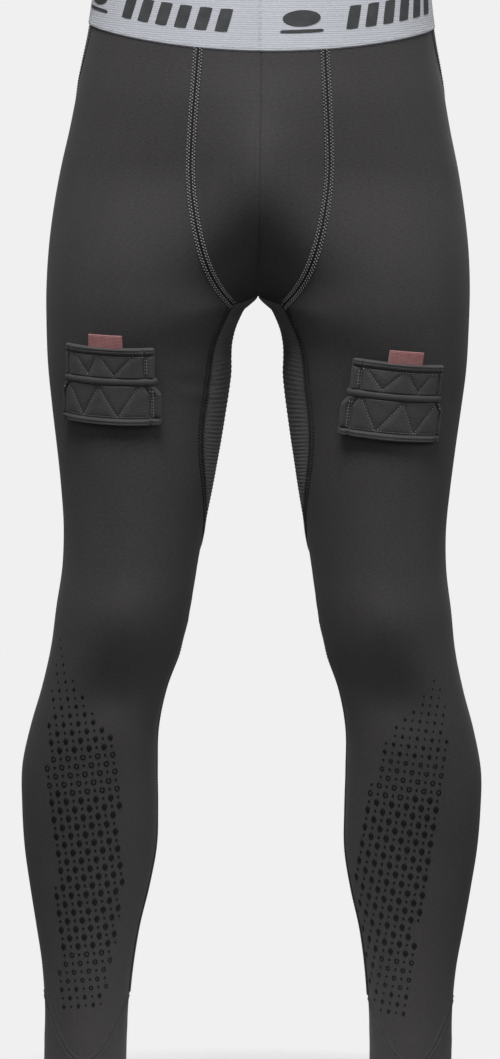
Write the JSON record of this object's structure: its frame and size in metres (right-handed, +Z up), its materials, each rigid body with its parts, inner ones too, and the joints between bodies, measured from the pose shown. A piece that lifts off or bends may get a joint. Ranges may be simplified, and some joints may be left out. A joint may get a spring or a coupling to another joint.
{
  "type": "hockey pants",
  "caption": "Fitted youth hockey leggings with elastic waistband, cup pouch, ribbed inner thigh gussets, printed shin grip and hook-and-loop sock tabs on the thighs",
  "frame": {"origin": "middle of the waist opening", "axes": "+Z up along the wearer's body, the front of the garment faces -Y, the wearer's left side is +X"},
  "size_m": [0.3454, 0.2184, 0.87],
  "materials": {
    "main_cloth": "fine charcoal stretch knit",
    "rib_cloth": "horizontally ribbed stretch mesh",
    "seam_thread": "flatlock stitching",
    "waist_elastic": "heathered woven elastic",
    "label_tape": "blank woven tape",
    "tab_cloth": "quilted padded knit",
    "hook_tape": "hook and loop tape",
    "pull_tape": "faded red woven tape",
    "grip_rubber": "screen printed silicone"
  },
  "bodies": {
    "hips": {"waistband": "waist_elastic", "waist_seam": "seam_thread", "care_label": "label_tape", "centre_seam": "seam_thread", "cup_liner": "main_cloth", "liner_binding": "seam_thread", "right_pouch_panel": "main_cloth", "right_pouch_seam": "seam_thread", "right_front_panel": "main_cloth", "right_side_seam": "seam_thread", "right_seat_panel": "main_cloth", "right_seat_seam": "seam_thread", "right_back_panel": "main_cloth", "right_rib_panel": "rib_cloth", "right_inner_front_seam": "seam_thread", "right_inner_back_seam": "seam_thread", "right_knee_section": "main_cloth", "right_tab_welt": "tab_cloth", "right_loop_patch": "hook_tape", "left_pouch_panel": "main_cloth", "left_pouch_seam": "seam_thread", "left_front_panel": "main_cloth", "left_side_seam": "seam_thread", "left_seat_panel": "main_cloth", "left_seat_seam": "seam_thread", "left_back_panel": "main_cloth", "left_rib_panel": "rib_cloth", "left_inner_front_seam": "seam_thread", "left_inner_back_seam": "seam_thread", "left_knee_section": "main_cloth", "left_tab_welt": "tab_cloth", "left_loop_patch": "hook_tape"},
    "right_shin": {"right_shin_front": "main_cloth", "right_shin_back": "main_cloth", "right_shin_side_seam": "seam_thread", "right_shin_inseam": "seam_thread", "right_cuff_seam": "seam_thread", "right_ankle_cuff": "main_cloth", "right_grip_print": "grip_rubber"},
    "right_upper_flap": {"right_upper_flap": "tab_cloth", "right_upper_hooks": "hook_tape"},
    "right_lower_flap": {"right_lower_flap": "tab_cloth", "right_lower_hooks": "hook_tape"},
    "right_pull_tab": {"right_pull_tab": "pull_tape"},
    "left_shin": {"left_shin_front": "main_cloth", "left_shin_back": "main_cloth", "left_shin_side_seam": "seam_thread", "left_shin_inseam": "seam_thread", "left_cuff_seam": "seam_thread", "left_ankle_cuff": "main_cloth", "left_grip_print": "grip_rubber"},
    "left_upper_flap": {"left_upper_flap": "tab_cloth", "left_upper_hooks": "hook_tape"},
    "left_lower_flap": {"left_lower_flap": "tab_cloth", "left_lower_hooks": "hook_tape"},
    "left_pull_tab": {"left_pull_tab": "pull_tape"}
  },
  "joints": [
    {"name": "right_knee_bend", "type": "hinge", "parent": "hips", "child": "right_shin", "pos_m": [-0.0985, 0, -0.485], "axis": [1, 0, 0], "range_deg": [0, 90], "deforming": ["right_knee_section"]},
    {"name": "right_upper_flap_peel", "type": "hinge", "parent": "hips", "child": "right_upper_flap", "pos_m": [-0.11075, -0.07109, -0.31172], "axis": [0.9509, -0.3037, -0.0591], "range_deg": [0, 88]},
    {"name": "right_lower_flap_lift", "type": "hinge", "parent": "hips", "child": "right_lower_flap", "pos_m": [-0.11064, -0.06974, -0.31685], "axis": [-0.9509, 0.3037, 0.0591], "range_deg": [0, 60]},
    {"name": "right_pull_tab_fold", "type": "hinge", "parent": "right_upper_flap", "child": "right_pull_tab", "pos_m": [-0.11433, -0.07675, -0.2895], "axis": [0.9509, -0.3037, -0.0591], "range_deg": [0, 100]},
    {"name": "left_knee_bend", "type": "hinge", "parent": "hips", "child": "left_shin", "pos_m": [0.0985, 0, -0.485], "axis": [1, 0, 0], "range_deg": [0, 90], "deforming": ["left_knee_section"]},
    {"name": "left_upper_flap_peel", "type": "hinge", "parent": "hips", "child": "left_upper_flap", "pos_m": [0.10333, -0.07078, -0.32057], "axis": [0.9726, 0.2249, -0.0594], "range_deg": [0, 88]},
    {"name": "left_lower_flap_lift", "type": "hinge", "parent": "hips", "child": "left_lower_flap", "pos_m": [0.10276, -0.06966, -0.32572], "axis": [-0.9726, -0.2249, 0.0594], "range_deg": [0, 60]},
    {"name": "left_pull_tab_fold", "type": "hinge", "parent": "left_upper_flap", "child": "left_pull_tab", "pos_m": [0.10891, -0.07576, -0.2986], "axis": [0.9726, 0.2249, -0.0594], "range_deg": [0, 100]}
  ]
}
